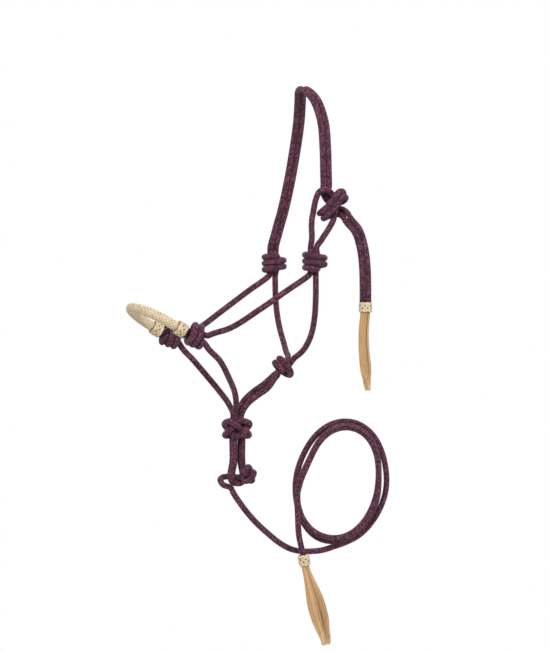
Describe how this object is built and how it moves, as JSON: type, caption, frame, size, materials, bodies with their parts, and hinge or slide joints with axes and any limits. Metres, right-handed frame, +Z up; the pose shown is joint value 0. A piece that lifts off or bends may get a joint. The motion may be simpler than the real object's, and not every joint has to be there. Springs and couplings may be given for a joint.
{
  "type": "rope halter",
  "caption": "Rope halter tied from braided cord, with a plaited rawhide noseband, woven collars, hair tassels and a coiled lead on a knotted loop.",
  "frame": {"origin": "underside of the crown, halfway between its two ropes and halfway across it", "axes": "+Z up as worn, -X towards the noseband, -Y the side with the tie"},
  "size_m": [0.4144, 0.2134, 0.8408],
  "materials": {
    "rope": "tightly braided burgundy cord, fine speckled weave, soft sheen",
    "rawhide": "natural plaited rawhide strands, satin, lighter on the crowns and tan in the edges",
    "hair": "tan horsehair, browner at the root and pale at the tips"
  },
  "bodies": {
    "halter": {"crown_rope_front": "rope", "crown_rope_rear": "rope", "crown_tie_knot": "rope", "tie_loop_bight": "rope", "tie_loop_front": "rope", "tie_loop_rear": "rope", "throat_knot_left": "rope", "throat_knot_right": "rope", "cheek_rope_left": "rope", "cheek_rope_right": "rope", "nose_knot_left": "rope", "nose_knot_right": "rope", "noseband_core": "rope", "noseband_braid": "rawhide", "noseband_collar_left": "rawhide", "noseband_collar_right": "rawhide", "chin_rope_left": "rope", "chin_rope_right": "rope", "throat_rope_left": "rope", "throat_rope_right": "rope", "jaw_knot": "rope", "jaw_rope_left": "rope", "jaw_rope_right": "rope", "fiador_knot": "rope", "lead_loop_left": "rope", "lead_loop_right": "rope", "lead_stopper_knot": "rope", "lead_hitch": "rope"},
    "lead": {"lead_rope": "rope", "lead_coil": "rope", "lead_end": "rope", "lead_collar": "rawhide"},
    "lead_tassel": {"lead_tassel": "hair"},
    "tie_tails": {"tie_tail_front": "rope", "tie_tail_rear": "rope", "tail_collar": "rawhide"},
    "tie_tassel": {"tail_tassel": "hair"}
  },
  "joints": [
    {"name": "tie_tail_swing", "type": "hinge", "parent": "halter", "child": "tie_tails", "pos_m": [0.04265, -0.076, -0.19162], "axis": [0.841, 0, 0.541], "range_deg": [-30, 45]},
    {"name": "tie_tassel_swing", "type": "hinge", "parent": "tie_tails", "child": "tie_tassel", "pos_m": [0.071, -0.076, -0.3345], "axis": [1, 0, 0], "range_deg": [-20, 20]},
    {"name": "lead_swing", "type": "hinge", "parent": "halter", "child": "lead", "pos_m": [-0.11289, -0.003, -0.59792], "axis": [0.9023, 0, 0.4311], "range_deg": [-45, 45]},
    {"name": "lead_tassel_swing", "type": "hinge", "parent": "lead", "child": "lead_tassel", "pos_m": [0.00012, -0.011, -0.71409], "axis": [0.9806, 0, 0.1959], "range_deg": [-20, 20]}
  ]
}
